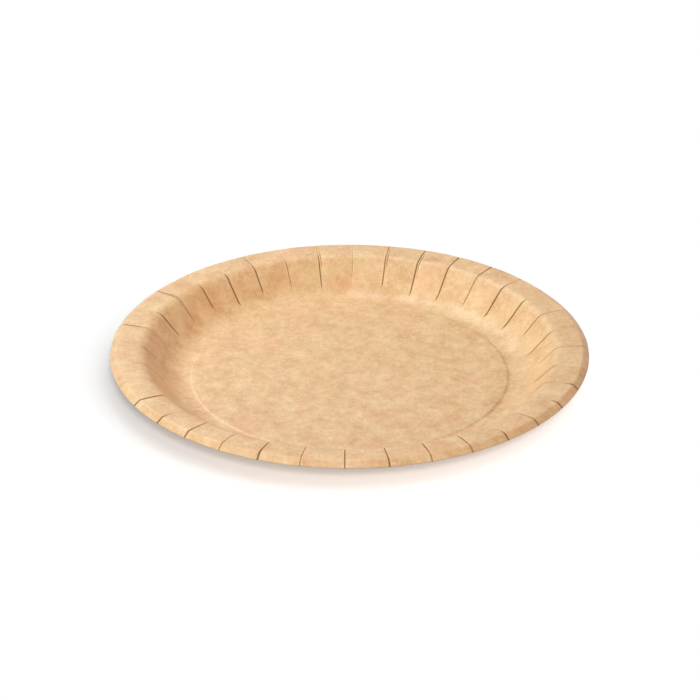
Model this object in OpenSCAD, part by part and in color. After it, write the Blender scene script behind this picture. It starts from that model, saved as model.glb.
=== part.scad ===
// Round pressed plate of kraft board, with a pleated wall and rim.
// The origin is at the centre of the plate, on the table, and +Z is up.

/* [Plate] */
// Diameter over the outer edge of the lip
plate_d = 230; // [190:1:280]
// Height of the rim's crest above the table
plate_h = 16.4; // [14:0.2:20]
// Thickness of the board
board_t = 0.45; // [0.3:0.05:0.7]

/* [Base] */
// Height of the middle panel above the ring that the plate stands on
panel_lift = 0.4; // [0.2:0.05:0.6]
// Width of the flat ring that the plate stands on
foot_w = 1.2; // [0.8:0.2:5]
// Radius of the two small bends between the panel and the ring
step_r = 2.5; // [1.5:0.5:8]

/* [Wall] */
// Slope of the wall, in degrees above the table
wall_a = 48; // [40:1:58]
// Radius of the broad bend from the base up into the wall
corner_r = 15.5; // [10:0.5:18]
// Radius of the shoulder, where the wall turns out into the rim
shoulder_r = 7; // [4:0.5:9]

/* [Rim] */
// Width of the rim, from the shoulder out to its crest
rim_w = 9.4; // [7:0.2:14]
// Slope of the rim where it leaves the shoulder, in degrees
rim_a = 6; // [3:1:12]
// Radius of the bend at the crest, where the rim turns down into the lip
lip_r = 2; // [1.5:0.25:4]
// Slope of the lip, in degrees below the rim's crest
lip_a = 38; // [20:2:60]
// Width of the lip, from its bend down to the edge
lip_w = 3; // [1:0.5:5]

/* [Pleats] */
// Number of pleats round the rim
pleats = 36; // [24:1:48]
// Turn of the broad bend at which the pleats begin, in degrees
pleat_a = 32; // [20:1:40]
// Width of the slit that a pleat shows on top
slit_w = 0.4; // [0.2:0.05:0.6]
// Depth of the slit
slit_h = 0.25; // [0.1:0.05:0.4]
// Width of the gathered board that is pressed flat below the slit
fold_w = 1.7; // [1:0.1:3]
// Thickness of the gathered board below the underside
fold_h = 0.35; // [0.2:0.05:0.5]

/* [Hidden] */
$fn = 180;

// Largest turn between two points of a bend, in degrees
bend_step = 7;
// How far a cutting shape stands proud of the surface that it cuts
proud = 0.6;
// How far the slits run past the edge, and how far the folds stop short of it
slit_past = 0.4;
fold_short = 0.2;

// Centres of the bends, as radius and height, from the crest inwards.
// All bend radii are those of the top surface.
crest = [plate_d / 2 - lip_r * sin(lip_a) - lip_w * cos(lip_a), plate_h];
lip_c = crest - [0, lip_r];
arch_r = rim_w / sin(rim_a);
arch_c = crest - [0, arch_r];
shoulder_c = arch_c + (arch_r - shoulder_r) * [-sin(rim_a), cos(rim_a)];
wall_top = shoulder_c + shoulder_r * [-sin(wall_a), cos(wall_a)];
wall_foot_z = board_t + corner_r * (1 - cos(wall_a));
wall_foot_r = wall_top.x - (wall_top.y - wall_foot_z) / tan(wall_a);
corner_c = [wall_foot_r - corner_r * sin(wall_a), board_t + corner_r];
step_a = acos(1 - panel_lift / (2 * step_r));
ring_c = [corner_c.x - foot_w, board_t + step_r];
panel_c = ring_c - 2 * step_r * [sin(step_a), cos(step_a)];

// Where the pleats begin, reach their full width and end, as radii
pleat_start_r = corner_c.x + corner_r * sin(pleat_a);
pleat_full_r = wall_top.x;
pleat_end_r = plate_d / 2 + proud;

// Points of an arc about c from angle a0 to a1, without the first where it would repeat
function arc(c, r, a0, a1, first = 0) =
    let (n = ceil(abs(a1 - a0) / bend_step))
    [for (i = [first:n]) let (a = a0 + (a1 - a0) * i / n) c + r * [cos(a), sin(a)]];

// Line through the board, at depth d below its top: the base, then the wall and rim,
// where past is how far the lip runs on past its edge
function base_line(d) = concat(
    [[0, panel_c.y + step_r - d]],
    arc(panel_c, step_r - d, 90, 90 - step_a),
    arc(ring_c, step_r + d, 270 - step_a, 270, 1)
);

function wall_line(d, past = 0) = concat(
    arc(corner_c, corner_r + d, 270, 270 + wall_a),
    arc(shoulder_c, shoulder_r - d, 90 + wall_a, 90 + rim_a),
    arc(arch_c, arch_r - d, 90 + rim_a, 90, 1),
    arc(lip_c, lip_r - d, 90, 90 - lip_a, 1),
    [lip_c + (lip_r - d) * [sin(lip_a), cos(lip_a)] + (lip_w + past) * [cos(lip_a), -sin(lip_a)]]
);

function reversed(points) = [for (i = [len(points) - 1:-1:0]) points[i]];

// The pressed board without its pleats
module shell() {
    rotate_extrude()
        polygon(concat(
            base_line(0), wall_line(0),
            reversed(wall_line(board_t)), reversed(base_line(board_t))
        ));
}

// Stretch of the wall and rim between two depths, as wide as one pleat's tapered strip
module strip(width, depth0, depth1, past) {
    intersection() {
        rotate([0, 0, -180 / pleats])
            rotate_extrude(angle = 360 / pleats)
                polygon(concat(wall_line(depth0, past), reversed(wall_line(depth1, past))));
        translate([0, 0, -plate_h])
            linear_extrude(3 * plate_h)
                polygon([
                    [pleat_start_r, 0],
                    [pleat_full_r, -width / 2],
                    [pleat_end_r, -width / 2],
                    [pleat_end_r, width / 2],
                    [pleat_full_r, width / 2]
                ]);
    }
}

// Board gathered below one pleat
module fold() {
    strip(fold_w, board_t / 2, board_t + fold_h, -fold_short);
}

// Slit that one pleat leaves on top
module slit() {
    strip(slit_w, -proud, slit_h, slit_past);
}

module round_the_rim() {
    for (i = [0:pleats - 1])
        rotate([0, 0, 360 * i / pleats])
            children();
}

module plate() {
    color([0.85, 0.69, 0.48])
        difference() {
            union() {
                shell();
                round_the_rim() fold();
            }
            round_the_rim() slit();
        }
}

plate();
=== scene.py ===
import bisect
import math
import random

import bpy
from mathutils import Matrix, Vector, noise


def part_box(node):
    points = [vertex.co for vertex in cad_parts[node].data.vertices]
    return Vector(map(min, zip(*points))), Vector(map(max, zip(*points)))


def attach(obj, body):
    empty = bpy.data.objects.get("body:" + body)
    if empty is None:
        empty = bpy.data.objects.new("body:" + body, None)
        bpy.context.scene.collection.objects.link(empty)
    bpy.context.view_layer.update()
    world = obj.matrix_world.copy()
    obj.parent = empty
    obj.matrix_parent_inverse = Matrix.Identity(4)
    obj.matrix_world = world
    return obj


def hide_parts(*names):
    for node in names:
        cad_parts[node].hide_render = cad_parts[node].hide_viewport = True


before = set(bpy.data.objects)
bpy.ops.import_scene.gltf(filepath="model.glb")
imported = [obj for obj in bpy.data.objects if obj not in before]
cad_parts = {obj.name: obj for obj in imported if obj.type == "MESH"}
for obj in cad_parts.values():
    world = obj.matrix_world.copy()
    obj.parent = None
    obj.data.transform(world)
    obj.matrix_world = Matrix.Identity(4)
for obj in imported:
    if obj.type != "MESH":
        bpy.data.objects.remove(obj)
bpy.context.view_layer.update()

MM = 0.001
plate_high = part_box("plate")[1]
SEED = 7

# The board's section, in metres, as the frame has it. Angles are in radians.
RADIUS = plate_high[0]
CREST_Z = plate_high[2]
BOARD_T = 0.45 * MM
PANEL_LIFT = 0.4 * MM
FOOT_W = 1.2 * MM
STEP_R = 2.5 * MM
WALL_A = math.radians(48)
CORNER_R = 15.5 * MM
SHOULDER_R = 7.0 * MM
RIM_W = 9.4 * MM
RIM_A = math.radians(6)
LIP_R = 2.0 * MM
LIP_A = math.radians(38)
LIP_W = 3.0 * MM
EDGE_ROUND = 0.1 * MM

# Pleats, clockwise seen from above, starting with the one at the far side
PLEATS = 36
# How far each stands off its even place, in tenths of a degree clockwise
TURN = (0, -2, -4, -7, -7, -6, -6, -5, -2, -2, 1, 2, 1, 1, 1, 1, 2, 1,
        2, 3, 2, 0, -2, -8, -6, -8, -8, -7, 0, 0, 3, 5, 4, 0, 0, 0)
# Where its slit begins, in mm along the board from the flat ring that the plate stands on
FOOT = (13.5, 9.5, 6.5, 7, 8.5, 7.5, 7.5, 11.5, 8, 11.5, 10.5, 9.5, 8.5, 8.5, 9.5, 9.5, 7.5, 8.5,
        8.5, 9.5, 9.5, 7.5, 8.5, 9.5, 8.5, 10.5, 10.5, 13.5, 15.5, 10.5, 10.5, 11.5, 8, 10.5, 10.5, 8.5)
# How open it is from 0 to 9: on the wall, on the flat of the rim and on the lip
WALL_OPEN = "377869979897522338694241652849699857"
RIM_OPEN = "256774142513363777757472910282721523"
LIP_OPEN = "256884131518878668759588830271611423"
# Pleats that show a second line beside the first at the shoulder
DOUBLED = (1, 2, 30, 35)

# Slits: the length over which one opens, its depth and half width, and how that half width
# grows from its least share as the slit opens
SLIT_RUN = 3.5 * MM
SLIT_DEPTH = 0.40 * MM
SLIT_HALF = 0.26 * MM
LEAST_SHARE = 0.6
OPEN_SHARE = 0.8
# How much wider the slits at the left and right are
SIDE_WIDER = 0.55
# The second line of a doubled pleat: its offset, strength and half width beside the first
SECOND_AT = -1.15 * MM
SECOND_STRENGTH = 0.6
SECOND_HALF = 0.8 * SLIT_HALF
# Gathered board below the underside: where it starts along the board, its height and half width
FOLD_START = 9.0 * MM
FOLD_H = 0.35 * MM
FOLD_HALF = 0.85 * MM
# Raised lips of a slit: offset, half width and height
RIDGE_AT = 0.52 * MM
RIDGE_HALF = 0.26 * MM
RIDGE_H = 0.11 * MM
# The field between two pleats: how far it is crowned and tilted, and how much of that the rim loses
GORE_CROWN = 0.30 * MM
GORE_TILT = 0.14 * MM
GORE_CALM = 0.85
# Sideways wander of a slit, the length that sets its period, and the half width over which
# the board beside the slit is drawn along
WANDER = 0.10 * MM
WANDER_SIZE = 6 * MM
WANDER_REACH = 4 * MM
# Slow waves over the whole board
SWELL = 0.10 * MM
SWELL_SIZE = 17.0 * MM

# Painted shade along the step at the raised panel's edge on the right side, where the step turns from
# the light: its half width, and its middle and spread in degrees clockwise from the far side
STEP_SHADE_HALF = 1.1 * MM
STEP_SHADE_MIDDLE = 105
STEP_SHADE_SPREAD = 42

# Offsets of the mesh's columns from a slit, in mm at the crest
COLUMNS = (0.0, 0.13, 0.26, 0.4, 0.54, 0.72, 1.05, 1.7, 2.9, 4.8, 7.2)
SECOND_COLUMNS = (-0.2, -0.1, 0, 0.1, 0.2)


def smooth(low, high, x):
    """0 below low, 1 above high, and a smooth rise between them."""
    t = min(1.0, max(0.0, (x - low) / (high - low)))
    return t * t * (3 - 2 * t)


def bump(x, half, power=2):
    return math.exp(-abs(x / half) ** power)


def up(slope):
    """The normal of a stretch of the section that rises outwards at this slope."""
    return Vector((-math.sin(slope), math.cos(slope)))


class Section:
    """The line along the top of the board from the centre out, as rows of point, normal and length."""

    def __init__(self):
        self.rows = []
        crest = Vector((RADIUS - LIP_R * math.sin(LIP_A) - LIP_W * math.cos(LIP_A), CREST_Z))
        arch_r = RIM_W / math.sin(RIM_A)
        arch_c = crest - Vector((0, arch_r))
        lip_c = crest - Vector((0, LIP_R))
        shoulder_c = arch_c + (arch_r - SHOULDER_R) * up(RIM_A)
        wall_top = shoulder_c + SHOULDER_R * up(WALL_A)
        wall_foot_z = BOARD_T + CORNER_R * (1 - math.cos(WALL_A))
        wall_foot_r = wall_top.x - (wall_top.y - wall_foot_z) / math.tan(WALL_A)
        corner_c = Vector((wall_foot_r - CORNER_R * math.sin(WALL_A), BOARD_T + CORNER_R))
        step_a = math.acos(1 - PANEL_LIFT / (2 * STEP_R))
        ring_c = Vector((corner_c.x - FOOT_W, BOARD_T + STEP_R))
        panel_c = ring_c - 2 * STEP_R * Vector((math.sin(step_a), math.cos(step_a)))

        self.add(Vector((panel_c.x * 0.93, panel_c.y + STEP_R)), Vector((0, 1)))
        self.bend(panel_c, STEP_R, 0, -step_a, 4)
        self.step = self.rows[-1][0].x
        self.bend(ring_c, -STEP_R, -step_a, 0, 4, skip=1)
        self.bend(corner_c, -CORNER_R, 0, WALL_A, 14)
        self.ring = self.length_at(corner_c.x)
        foot = self.rows[-1][0]
        for i in range(1, 5):
            self.add(foot.lerp(wall_top, i / 5), up(WALL_A))
        self.bend(shoulder_c, SHOULDER_R, WALL_A, RIM_A, 10)
        self.shoulder_in = self.length_at(wall_top.x)
        self.shoulder_out = self.rows[-1][2]
        self.bend(arch_c, arch_r, RIM_A, 0, 6, skip=1)
        self.crest = self.rows[-1][2]
        self.bend(lip_c, LIP_R, 0, -LIP_A, 7, skip=1)
        lip_top = self.rows[-1][0]
        for i in range(1, 5):
            self.add(lip_top + LIP_W * i / 4 * Vector((math.cos(LIP_A), -math.sin(LIP_A))), up(-LIP_A))
        self.edge = self.rows[-1][2]

    def add(self, point, normal):
        length = 0.0
        if self.rows:
            length = self.rows[-1][2] + (point - self.rows[-1][0]).length
        self.rows.append((point, normal, length))

    def bend(self, centre, radius, slope0, slope1, steps, skip=0):
        """A bend from one slope to another. A radius below 0 is that of a hollow bend."""
        for i in range(skip, steps + 1):
            normal = up(slope0 + (slope1 - slope0) * i / steps)
            self.add(centre + radius * normal, normal)

    def length_at(self, radius):
        i = bisect.bisect([row[0].x for row in self.rows], radius)
        a, b = self.rows[i - 1], self.rows[min(i, len(self.rows) - 1)]
        share = (radius - a[0].x) / max(b[0].x - a[0].x, 1e-9)
        return a[2] + min(1.0, share) * (b[2] - a[2])


class Pleat:
    """One pleat: how open it is along the board, and how the board lies beside it."""

    def __init__(self, index, section):
        dice = random.Random(SEED * 100 + index)
        self.section = section
        self.angle = math.pi / 2 - 2 * math.pi * index / PLEATS - math.radians(TURN[index] / 10)
        self.foot = section.ring + FOOT[index] * MM
        self.wall, self.rim, self.lip = (int(row[index]) / 9 for row in (WALL_OPEN, RIM_OPEN, LIP_OPEN))
        self.doubled = index in DOUBLED
        self.half = SLIT_HALF * (1 + SIDE_WIDER * abs(math.cos(self.angle)))
        self.ridges = (dice.uniform(0.2, 1.0), dice.uniform(0.4, 1.2))
        self.phase = dice.uniform(0, 2 * math.pi)
        self.crown = GORE_CROWN * dice.uniform(0.3, 1.5)
        self.tilt = GORE_TILT * dice.uniform(-1, 1)

    def grown(self, s):
        return smooth(self.foot, self.foot + SLIT_RUN, s)

    def open_at(self, s):
        sec = self.section
        over = smooth(sec.shoulder_in, sec.shoulder_out + 2.0 * MM, s)
        down = smooth(sec.crest - 4.0 * MM, sec.crest, s)
        rim = self.rim + (self.lip - self.rim) * down
        return self.grown(s) * (self.wall + (rim - self.wall) * over)

    def slit(self, x, s):
        """1 in the middle of the slit, where it is fully open."""
        open_here = self.open_at(s)
        depth = open_here * bump(x, self.half * (LEAST_SHARE + OPEN_SHARE * open_here))
        if self.doubled:
            near = smooth(self.section.shoulder_in - 4 * MM, self.section.shoulder_in, s)
            near *= 1 - smooth(self.section.shoulder_out, self.section.crest, s)
            depth = max(depth, SECOND_STRENGTH * near * bump(x - SECOND_AT, SECOND_HALF))
        return depth

    def ridge(self, x, s):
        """1 on the lifted lips of the slit, strongest at the shoulder."""
        sec = self.section
        high = smooth(sec.shoulder_in - 4 * MM, sec.shoulder_in + 1 * MM, s)
        along = 0.35 + 0.65 * high * (1 - 0.5 * smooth(sec.shoulder_out, sec.crest, s))
        strength = self.ridges[0] if x > 0 else self.ridges[1]
        return strength * along * self.grown(s) * bump(abs(x) - RIDGE_AT, RIDGE_HALF)

    def fold(self, x, s):
        """How far the gathered board stands down below the underside."""
        start = self.section.ring + FOLD_START
        return FOLD_H * smooth(start, start + SLIT_RUN, s) * bump(x, FOLD_HALF, 4)

    def wander(self, s):
        return WANDER * math.sin(s / WANDER_SIZE + self.phase) * self.grown(s)


def columns(pleats, at_crest):
    """Every column of the mesh: its angle, the pleat beside it, the offset from that, and its gore."""
    found = []
    for index, pleat in enumerate(pleats):
        after = pleats[(index + 1) % PLEATS]
        gap = (pleat.angle - after.angle) % (2 * math.pi) * at_crest
        offsets = {-c * MM for c in COLUMNS}
        if pleat.doubled:
            offsets = {o for o in offsets if abs(o - SECOND_AT) > 0.25 * MM}
            offsets |= {SECOND_AT + c * MM for c in SECOND_COLUMNS}
        for x in sorted(offsets, reverse=True):
            found.append((pleat.angle + x / at_crest, index, x, index, -x / gap))
        found.append((pleat.angle - gap / 2 / at_crest, index, -gap / 2, index, 0.5))
        for c in reversed(COLUMNS[1:]):
            x = c * MM
            found.append((after.angle + x / at_crest, (index + 1) % PLEATS, x, index, 1 - x / gap))
    return found


def plate_mesh():
    section = Section()
    pleats = [Pleat(i, section) for i in range(PLEATS)]
    at_crest = RADIUS - LIP_R
    cols = columns(pleats, at_crest)
    verts = []
    marks = {"slit": [], "lifted": [], "worked": [], "cut_edge_shade": [], "pressed": []}

    def gore(index, u, s):
        own = pleats[index]
        grown = smooth(section.ring + 7 * MM, section.ring + 13 * MM, s)
        grown *= 1 - GORE_CALM * smooth(section.shoulder_out, section.crest, s)
        return grown * (own.crown * (4 * u * (1 - u) - 0.67) + own.tilt * (2 * u - 1))

    def body(at, col, s):
        """How far the whole board lies off its true form."""
        _, near, x, index, u = col
        rise = gore(index, u, s)
        if x == 0:
            rise = (rise + gore(index - 1, 1.0, s)) / 2
        where = Vector((at.x * math.cos(col[0]), at.x * math.sin(col[0]), 0)) / SWELL_SIZE
        swell = noise.noise(where) + 0.4 * noise.noise(where * 2.7)
        return rise + SWELL * swell * smooth(section.ring, section.ring + 10 * MM, s)

    def ring(point, normal, s, depth, side):
        start = len(verts)
        worked = smooth(section.ring + 12 * MM, section.shoulder_in + 2 * MM, s)
        for col in cols:
            pleat = pleats[col[1]]
            x = col[2]
            slit, ridge = pleat.slit(x, s), pleat.ridge(x, s)
            rise = body(point, col, s)
            if side == "under":
                rise -= pleat.fold(x, s)
            else:
                rise += RIDGE_H * ridge - SLIT_DEPTH * slit * (1.0 if side == "top" else 0.7)
            at = point + normal * (rise - depth)
            angle = col[0] + pleat.wander(s) * bump(x, WANDER_REACH) / at_crest
            verts.append((at.x * math.cos(angle), at.x * math.sin(angle), at.y))
            marks["slit"].append(slit if side != "under" else 0.0)
            marks["lifted"].append(ridge if side == "top" else 0.0)
            marks["worked"].append(worked)
            # Mask for the painted shade on the cut edge
            marks["cut_edge_shade"].append(1.0 if side == "edge" else 0.0)
            # Mask for the painted shade along the panel's step on the right side
            around = (90 - STEP_SHADE_MIDDLE - math.degrees(angle) + 180) % 360 - 180
            marks["pressed"].append(bump(point.x - section.step, STEP_SHADE_HALF) * bump(around, STEP_SHADE_SPREAD))
        return start

    rings = [ring(*row, 0, "top") for row in section.rows]
    point, normal, s = section.rows[-1]
    along = Vector((normal.y, -normal.x))
    rings.append(ring(point + along * EDGE_ROUND * 0.7, normal, s, EDGE_ROUND * 0.3, "edge"))
    rings.append(ring(point + along * EDGE_ROUND, normal, s, EDGE_ROUND, "edge"))
    rings.append(ring(point + along * EDGE_ROUND, normal, s, BOARD_T - EDGE_ROUND, "under"))
    below = section.rows[:1] + section.rows[1:-1:2] + section.rows[-1:]
    rings += [ring(*row, BOARD_T, "under") for row in reversed(below)]

    count = len(cols)
    faces = []
    for a, b in zip(rings, rings[1:]):
        for i in range(count):
            j = (i + 1) % count
            faces.append((a + i, a + j, b + j, b + i))
    faces.append(tuple(rings[0] + i for i in reversed(range(count))))
    faces.append(tuple(rings[-1] + i for i in range(count)))

    mesh = bpy.data.meshes.new("pressed_plate")
    mesh.from_pydata(verts, [], faces)
    for name, values in marks.items():
        mesh.attributes.new(name, "FLOAT", "POINT").data.foreach_set("value", values)
    mesh.shade_smooth()
    mesh.update()
    print("pressed_plate:", sum(len(f) - 2 for f in faces), "triangles")
    return mesh


class Nodes:
    """Short calls for the nodes of one material."""

    def __init__(self, material):
        material.use_nodes = True
        self.tree = material.node_tree
        self.tree.nodes.clear()

    def add(self, kind, settings=None, **inputs):
        node = self.tree.nodes.new(kind)
        for name, value in (settings or {}).items():
            setattr(node, name, value)
        for name, value in inputs.items():
            self.set(node, name.replace("_", " "), value)
        return node

    def set(self, node, name, value):
        socket = node.inputs[int(name)] if name.isdigit() else node.inputs[name]
        if isinstance(value, bpy.types.NodeSocket):
            self.tree.links.new(value, socket)
        else:
            socket.default_value = value

    def math(self, kind, a, b=0.0):
        node = self.add("ShaderNodeMath", {"operation": kind})
        self.set(node, "0", a)
        self.set(node, "1", b)
        return node.outputs[0]

    def times(self, a, b):
        return self.math("MULTIPLY", a, b)

    def plus(self, *values):
        total = values[0]
        for value in values[1:]:
            total = self.math("ADD", total, value)
        return total

    def vector(self, kind, a, b=None):
        node = self.add("ShaderNodeVectorMath", {"operation": kind})
        self.set(node, "0", a)
        if isinstance(b, float):
            self.set(node, "Scale", b)
        elif b is not None:
            self.set(node, "1", b)
        return node.outputs["Value" if kind == "LENGTH" else "Vector"]

    def noise(self, where, size, detail=2.0, rough=0.5):
        settings = {"Vector": where, "Scale": 1 / size, "Detail": detail, "Roughness": rough}
        return self.add("ShaderNodeTexNoise", **settings).outputs["Fac"]

    def spread(self, value, low, high, to_low=0.0, to_high=1.0):
        """value from low to high becomes 0 to 1, or another range."""
        node = self.add("ShaderNodeMapRange", Value=value)
        limits = {"From Min": low, "From Max": high, "To Min": to_low, "To Max": to_high}
        for name, number in limits.items():
            self.set(node, name, number)
        return node.outputs[0]

    def mix(self, share, a, b):
        node = self.add("ShaderNodeMix", {"data_type": "RGBA"})
        for index, value in ((0, share), (6, a), (7, b)):
            self.set(node, str(index), value)
        return node.outputs[2]

    def mark(self, name):
        return self.add("ShaderNodeAttribute", {"attribute_name": name}).outputs["Fac"]


# The radius at which the creases have their true size
CREASE_R = 105 * MM
# How far the creases are drawn out along the radius: this share of their size round the plate
CREASE_DRAWN = 0.12


def kraft_board():
    material = bpy.data.materials.new("kraft_board")
    n = Nodes(material)
    where = n.add("ShaderNodeTexCoord").outputs["Object"]

    # Coordinates that run round the plate and out from its middle, for lines drawn out by the press
    flat = n.vector("MULTIPLY", where, (1, 1, 0))
    around = n.vector("SCALE", n.vector("NORMALIZE", flat), CREASE_R)
    out = n.add("ShaderNodeCombineXYZ", Z=n.times(n.vector("LENGTH", flat), CREASE_DRAWN)).outputs[0]
    radial = n.vector("ADD", around, out)

    worked, lifted = n.mark("worked"), n.mark("lifted")
    slit, cut_edge_shade, pressed = n.mark("slit"), n.mark("cut_edge_shade"), n.mark("pressed")

    # Cloudy pulp from broad patches down to single fibres
    pulp = n.noise(where, 11 * MM, 6.0, 0.87)
    tint = n.noise(where, 18 * MM, 3.0, 0.6)
    fleck = n.noise(where, 1.1 * MM, 2.0, 0.7)
    creases = n.noise(radial, 1.1 * MM, 3.0, 0.65)

    dark = (0.65, 0.336, 0.130, 1)
    light = (0.96, 0.710, 0.402, 1)
    pink = (0.90, 0.48, 0.25, 1)
    straw = (0.80, 0.61, 0.29, 1)
    colour = n.mix(n.spread(pulp, 0.31, 0.69), dark, light)
    colour = n.mix(n.times(n.spread(tint, 0.5, 0.66), 0.27), colour, pink)
    colour = n.mix(n.times(n.spread(tint, 0.5, 0.34), 0.27), colour, straw)
    colour = n.mix(n.times(n.spread(fleck, 0.62, 0.72), 0.8), colour, light)
    colour = n.mix(n.times(n.spread(fleck, 0.40, 0.2), 0.45), colour, dark)
    # Painted shade along the fine radial crinkles of the worked board
    crinkle_shade = n.times(n.spread(creases, 0.5, 0.75), worked)
    colour = n.mix(n.times(crinkle_shade, 0.22), colour, dark)
    # Painted shade along the panel's step on the right side, where the step turns from the light,
    # mottled by the pulp
    step_shade_share = n.times(pressed, n.spread(pulp, 0.62, 0.42, 0.1, 0.75))
    colour = n.mix(step_shade_share, colour, (0.50, 0.26, 0.10, 1))
    # Painted highlight on the lifted lips beside each slit
    colour = n.mix(n.times(lifted, 0.4), colour, (0.97, 0.74, 0.47, 1))
    # Painted shade in the slits, darker where they open wider
    colour = n.mix(n.spread(slit, 0.04, 0.8, 0, 0.9), colour, (0.21, 0.085, 0.025, 1))
    # Painted shade on the cut edge, which faces down and away from the light
    colour = n.mix(n.times(cut_edge_shade, 0.8), colour, (0.13, 0.075, 0.04, 1))

    # The board's relief: a soft unevenness, matted fibres and fine radial lines on the rim
    grain = n.noise(where, 0.6 * MM, 3.0, 0.7)
    soft = n.noise(where, 6 * MM, 4.0, 0.6)
    relief = n.plus(n.times(grain, 0.35), n.times(soft, 1.2), n.times(n.times(creases, worked), 0.9))
    normal = n.add("ShaderNodeBump", Strength=0.5, Distance=0.14 * MM, Height=relief).outputs[0]

    shader = n.add("ShaderNodeBsdfPrincipled", Base_Color=colour, Normal=normal)
    n.set(shader, "Roughness", n.spread(pulp, 0.3, 0.7, 0.38, 0.46))
    # Less sheen in the slits, which carry painted shade
    n.set(shader, "Specular IOR Level", n.spread(slit, 0.0, 0.4, 0.5, 0.05))
    end = n.add("ShaderNodeOutputMaterial")
    n.set(end, "Surface", shader.outputs[0])
    return material


def make_plate():
    plate = bpy.data.objects.new("pressed_plate", plate_mesh())
    bpy.context.scene.collection.objects.link(plate)
    plate.data.materials.append(kraft_board())
    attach(plate, "root")
    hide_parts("plate")
    return plate


# Camera: a long lens that looks down on the plate
CAMERA_AWAY = 1.364
CAMERA_ELEVATION = 28.05
CAMERA_AZIMUTH = 0.9
CAMERA_AIM = Vector((0.0002, 0, 0.0134))
CAMERA_LENS = 145.0


def direction(azimuth, elevation):
    """From the plate: azimuth 0 is to the camera's side, 90 to the right and 180 behind, in degrees."""
    a, e = math.radians(azimuth), math.radians(elevation)
    return Vector((math.sin(a) * math.cos(e), -math.cos(a) * math.cos(e), math.sin(e)))


def aim(obj, target):
    obj.rotation_mode = "QUATERNION"
    obj.rotation_quaternion = (target - obj.location).to_track_quat("-Z", "Y")


def make_camera():
    data = bpy.data.cameras.new("camera")
    data.lens = CAMERA_LENS
    data.sensor_width = 36.0
    data.clip_start, data.clip_end = 0.05, 20.0
    camera = bpy.data.objects.new("camera", data)
    camera.location = direction(CAMERA_AZIMUTH, CAMERA_ELEVATION) * CAMERA_AWAY
    aim(camera, CAMERA_AIM)
    bpy.context.scene.collection.objects.link(camera)
    bpy.context.scene.camera = camera


# Softboxes that light the plate: azimuth, elevation, distance and width in metres, the share
# of full brightness that each gives a surface that faces it, and its colour
NEUTRAL = (1, 1, 1)
SOFTBOXES = {
    "left_front": (325, 45, 1.5, 0.9, 0.34, NEUTRAL),
    "left": (270, 45, 0.8, 0.48, 0.16, NEUTRAL),
    "back": (215, 45, 0.8, 0.48, 0.30, NEUTRAL),
    "back_high": (195, 62, 1.5, 0.7, 0.22, NEUTRAL),
    "low_front": (350, 20, 1.5, 0.9, 0.36, NEUTRAL),
    "warm_right": (95, 18, 1.5, 0.9, 0.15, (1, 0.36, 0.10)),
}
SUN_AWAY = 1.5

# Lights for the floor alone, which place the soft shadow under the rim:
# azimuth, elevation, apparent width in degrees and share of full brightness. They are faintly
# warm and the floor's glow is faintly cool, against the warm light that the plate sends back.
FLOOR_LIGHTS = {
    "floor_front": (6, 36, 10, 0.26),
    "floor_right": (48, 50, 50, 0.27),
    "floor_top": (20, 72, 40, 0.13),
}
FLOOR_WARMTH = (1.04, 1.0, 0.97)
FLOOR_COLOUR = 0.8
# Light that the camera sees on open floor, a little past white
FLOOR_WHITE = 1.02
WORLD_LEVEL = 0.05


def lamp(name, kind, azimuth, elevation, away, only):
    """A light that reaches only the objects of one collection."""
    data = bpy.data.lights.new(name, kind)
    obj = bpy.data.objects.new(name, data)
    obj.location = direction(azimuth, elevation) * away
    aim(obj, Vector((0, 0, 0)))
    obj.light_linking.receiver_collection = only
    bpy.context.scene.collection.objects.link(obj)
    return data


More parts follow.
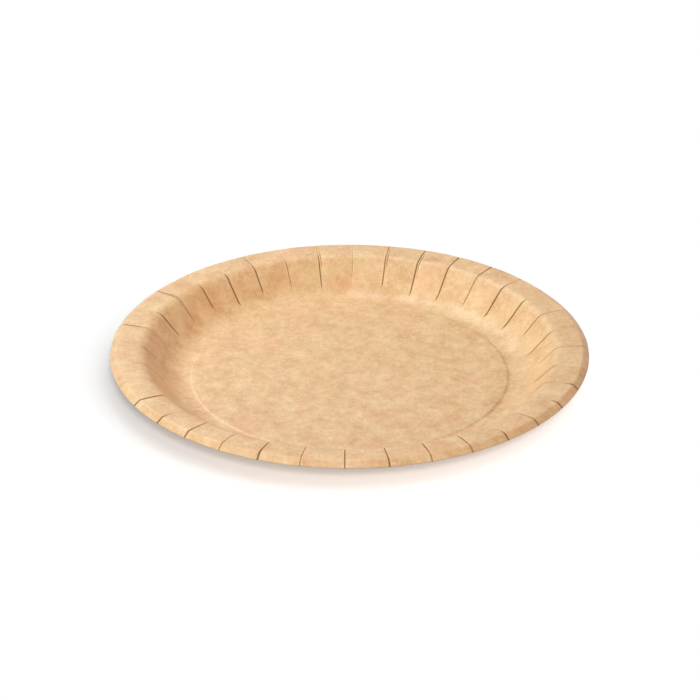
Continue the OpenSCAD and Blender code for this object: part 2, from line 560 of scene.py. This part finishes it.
def make_lights(plate, floor):
    for_plate = bpy.data.collections.new("lit_plate")
    for_plate.objects.link(plate)
    for_floor = bpy.data.collections.new("lit_floor")
    for_floor.objects.link(floor)
    for name, (azimuth, elevation, away, width, share, colour) in SOFTBOXES.items():
        data = lamp(name, "AREA", azimuth, elevation, away, for_plate)
        data.shape = "DISK"
        data.size = width
        data.color = colour
        data.energy = share * (math.pi * away) ** 2
    for name, (azimuth, elevation, width, share) in FLOOR_LIGHTS.items():
        data = lamp(name, "SUN", azimuth, elevation, SUN_AWAY, for_floor)
        data.angle = math.radians(width)
        data.color = FLOOR_WARMTH
        data.energy = share * math.pi / math.sin(math.radians(elevation)) / FLOOR_COLOUR


def make_world():
    world = bpy.data.worlds.new("world")
    bpy.context.scene.world = world
    n = Nodes(world)
    path = n.add("ShaderNodeLightPath")
    seen = n.math("MAXIMUM", path.outputs["Is Camera Ray"], path.outputs["Is Glossy Ray"])
    seen = n.math("MAXIMUM", seen, path.outputs["Is Transmission Ray"])
    soft = n.add("ShaderNodeBackground", Color=(1, 1, 1, 1), Strength=WORLD_LEVEL)
    white = n.add("ShaderNodeBackground", Color=(1, 1, 1, 1), Strength=1.0)
    mixed = n.add("ShaderNodeMixShader", Fac=seen)
    n.set(mixed, "1", soft.outputs[0])
    n.set(mixed, "2", white.outputs[0])
    end = n.add("ShaderNodeOutputWorld")
    n.set(end, "Surface", mixed.outputs[0])


def make_floor():
    bpy.ops.mesh.primitive_plane_add(size=12)
    floor = bpy.context.object
    floor.name = "floor"
    material = bpy.data.materials.new("floor")
    n = Nodes(material)
    path = n.add("ShaderNodeLightPath")
    seen = n.math("MAXIMUM", path.outputs["Is Camera Ray"], path.outputs["Is Glossy Ray"])
    paint = n.add("ShaderNodeBsdfDiffuse", Color=(FLOOR_COLOUR, FLOOR_COLOUR, FLOOR_COLOUR, 1))
    share = sum(light[3] for light in FLOOR_LIGHTS.values())
    missing = [FLOOR_WHITE - share * warmth - FLOOR_COLOUR * WORLD_LEVEL for warmth in FLOOR_WARMTH]
    glow = n.add("ShaderNodeEmission", Color=(*missing, 1), Strength=1.0)
    lifted = n.add("ShaderNodeAddShader")
    n.set(lifted, "0", paint.outputs[0])
    n.set(lifted, "1", glow.outputs[0])
    mixed = n.add("ShaderNodeMixShader", Fac=seen)
    n.set(mixed, "1", paint.outputs[0])
    n.set(mixed, "2", lifted.outputs[0])
    end = n.add("ShaderNodeOutputMaterial")
    n.set(end, "Surface", mixed.outputs[0])
    floor.data.materials.append(material)
    return floor


make_camera()
make_world()
make_lights(make_plate(), make_floor())

bpy.context.scene.view_settings.view_transform = "Standard"
